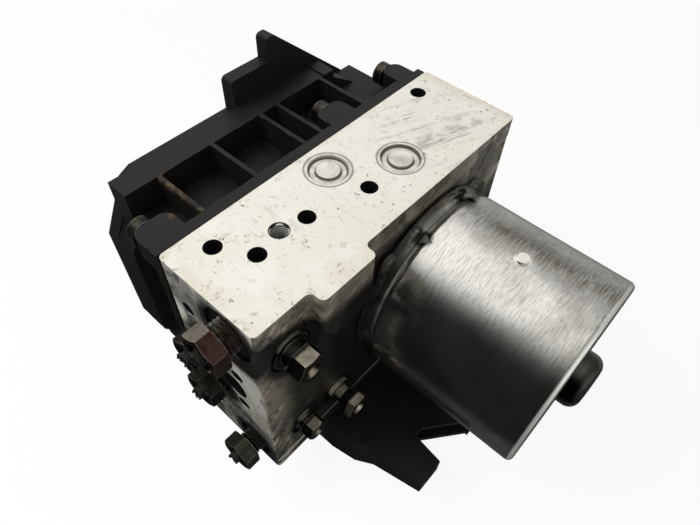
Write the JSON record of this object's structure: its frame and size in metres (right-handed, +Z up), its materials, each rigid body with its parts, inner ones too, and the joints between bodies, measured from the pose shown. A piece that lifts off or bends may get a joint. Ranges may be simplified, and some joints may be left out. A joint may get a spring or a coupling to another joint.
{
  "type": "abs brake module",
  "caption": "Anti-lock brake module: drilled aluminium valve block with a pump motor on one side and a black control unit on the other.",
  "frame": {"origin": "centre of the M6 mounting thread where it starts, 1.04 mm under the valve block's top face", "axes": "+X along the block away from the pipe nuts, +Y towards the control unit, +Z up out of the top face"},
  "size_m": [0.1419, 0.1628, 0.1435],
  "materials": {
    "block_aluminium": "machined extruded aluminium, lightly stained",
    "cover_steel": "turned and pressed in",
    "motor_steel": "deep drawn and plated, scratched",
    "inner_steel": "ground",
    "spring_steel": "wound wire",
    "core_iron": "stacked laminations",
    "magnet_ferrite": "sintered and ground",
    "copper": "enamelled and drawn copper",
    "carbon": "pressed carbon",
    "black_plastic": "moulded, glass filled",
    "board_green": "resin board",
    "chip_black": "moulded",
    "seal_rubber": "moulded",
    "yellow_zinc": "yellow zinc, worn and stained",
    "grey_zinc": "zinc, worn",
    "pipe_steel": "black coated pipe with bright cut ends"
  },
  "bodies": {
    "base": {"accumulator_cover_bottom": "cover_steel", "accumulator_cover_top": "cover_steel", "accumulator_spring_bottom": "spring_steel", "accumulator_spring_top": "spring_steel", "bleed_plug": "grey_zinc", "board_components": "chip_black", "brush_holder": "black_plastic", "brush_springs": "spring_steel", "circuit_board": "board_green", "connector_pins": "grey_zinc", "ecu_cover": "black_plastic", "ecu_housing": "black_plastic", "ecu_screws": "yellow_zinc", "ecu_seal": "seal_rubber", "flanged_plug": "grey_zinc", "front_bearing_outer": "inner_steel", "hydraulic_block": "block_aluminium", "inlet_tube_nut": "yellow_zinc", "motor_brushes": "carbon", "motor_can": "motor_steel", "motor_contact": "black_plastic", "motor_end_plate": "motor_steel", "motor_magnets": "magnet_ferrite", "motor_screws": "grey_zinc", "motor_seal": "seal_rubber", "pin_carrier": "black_plastic", "pipe_stubs": "pipe_steel", "pump_covers": "cover_steel", "pump_liner_bottom": "inner_steel", "pump_liner_top": "inner_steel", "pump_spring_bottom": "spring_steel", "pump_spring_top": "spring_steel", "rear_bush": "copper", "sealing_balls": "inner_steel", "small_tube_nuts": "yellow_zinc", "solenoid_coils": "copper", "tall_plug": "yellow_zinc", "valve_bodies": "inner_steel", "valve_disc_springs": "spring_steel"},
    "rotor": {"armature_shaft": "inner_steel", "armature_core": "core_iron", "armature_windings": "copper", "commutator": "copper", "front_bearing_inner": "inner_steel"},
    "race": {"eccentric_race": "inner_steel"},
    "bearing_balls": {"front_bearing_balls": "inner_steel"},
    "pump_piston_top": {"pump_piston_top": "inner_steel"},
    "accumulator_piston_top": {"accumulator_piston_top": "block_aluminium", "accumulator_seal_top": "seal_rubber"},
    "pump_piston_bottom": {"pump_piston_bottom": "inner_steel"},
    "accumulator_piston_bottom": {"accumulator_piston_bottom": "block_aluminium", "accumulator_seal_bottom": "seal_rubber"},
    "inlet_plunger_1": {"inlet_plunger_1": "inner_steel"},
    "inlet_plunger_2": {"inlet_plunger_2": "inner_steel"},
    "inlet_plunger_3": {"inlet_plunger_3": "inner_steel"},
    "inlet_plunger_4": {"inlet_plunger_4": "inner_steel"},
    "outlet_plunger_1": {"outlet_plunger_1": "inner_steel"},
    "outlet_plunger_2": {"outlet_plunger_2": "inner_steel"},
    "outlet_plunger_3": {"outlet_plunger_3": "inner_steel"},
    "outlet_plunger_4": {"outlet_plunger_4": "inner_steel"}
  },
  "joints": [
    {"name": "rotor_spin", "type": "hinge", "parent": "base", "child": "rotor", "pos_m": [0.0515, -0.0063, -0.04836], "axis": [0, -1, 0], "continuous": true},
    {"name": "race_spin", "type": "hinge", "parent": "rotor", "child": "race", "pos_m": [0.0521, -0.0063, -0.04836], "axis": [0, -1, 0], "continuous": true},
    {"name": "bearing_spin", "type": "hinge", "parent": "base", "child": "bearing_balls", "pos_m": [0.0515, -0.0063, -0.04836], "axis": [0, -1, 0], "continuous": true},
    {"name": "pump_stroke_top", "type": "slide", "parent": "base", "child": "pump_piston_top", "axis": [0, 0, 1], "range_m": [0, 0.0012], "stiffness_N_per_m": 400, "springref_m": -0.006, "deforming": ["pump_spring_top"]},
    {"name": "accumulator_stroke_top", "type": "slide", "parent": "base", "child": "accumulator_piston_top", "axis": [0, 0, 1], "range_m": [0, 0.005], "stiffness_N_per_m": 300, "springref_m": -0.01, "deforming": ["accumulator_spring_top"]},
    {"name": "pump_stroke_bottom", "type": "slide", "parent": "base", "child": "pump_piston_bottom", "axis": [0, 0, -1], "range_m": [0, 0.0012], "stiffness_N_per_m": 400, "springref_m": -0.006, "deforming": ["pump_spring_bottom"]},
    {"name": "accumulator_stroke_bottom", "type": "slide", "parent": "base", "child": "accumulator_piston_bottom", "axis": [0, 0, -1], "range_m": [0, 0.005], "stiffness_N_per_m": 300, "springref_m": -0.01, "deforming": ["accumulator_spring_bottom"]},
    {"name": "inlet_valve_1", "type": "slide", "parent": "base", "child": "inlet_plunger_1", "axis": [0, -1, 0], "range_m": [0, 0.00025], "stiffness_N_per_m": 200, "springref_m": -0.002},
    {"name": "inlet_valve_2", "type": "slide", "parent": "base", "child": "inlet_plunger_2", "axis": [0, -1, 0], "range_m": [0, 0.00025], "stiffness_N_per_m": 200, "springref_m": -0.002},
    {"name": "inlet_valve_3", "type": "slide", "parent": "base", "child": "inlet_plunger_3", "axis": [0, -1, 0], "range_m": [0, 0.00025], "stiffness_N_per_m": 200, "springref_m": -0.002},
    {"name": "inlet_valve_4", "type": "slide", "parent": "base", "child": "inlet_plunger_4", "axis": [0, -1, 0], "range_m": [0, 0.00025], "stiffness_N_per_m": 200, "springref_m": -0.002},
    {"name": "outlet_valve_1", "type": "slide", "parent": "base", "child": "outlet_plunger_1", "axis": [0, 1, 0], "range_m": [0, 0.00025], "stiffness_N_per_m": 200, "springref_m": -0.002},
    {"name": "outlet_valve_2", "type": "slide", "parent": "base", "child": "outlet_plunger_2", "axis": [0, 1, 0], "range_m": [0, 0.00025], "stiffness_N_per_m": 200, "springref_m": -0.002},
    {"name": "outlet_valve_3", "type": "slide", "parent": "base", "child": "outlet_plunger_3", "axis": [0, 1, 0], "range_m": [0, 0.00025], "stiffness_N_per_m": 200, "springref_m": -0.002},
    {"name": "outlet_valve_4", "type": "slide", "parent": "base", "child": "outlet_plunger_4", "axis": [0, 1, 0], "range_m": [0, 0.00025], "stiffness_N_per_m": 200, "springref_m": -0.002}
  ],
  "couplings": [
    {"joint": "bearing_spin", "follows": "rotor_spin", "ratio": 0.4129}
  ]
}
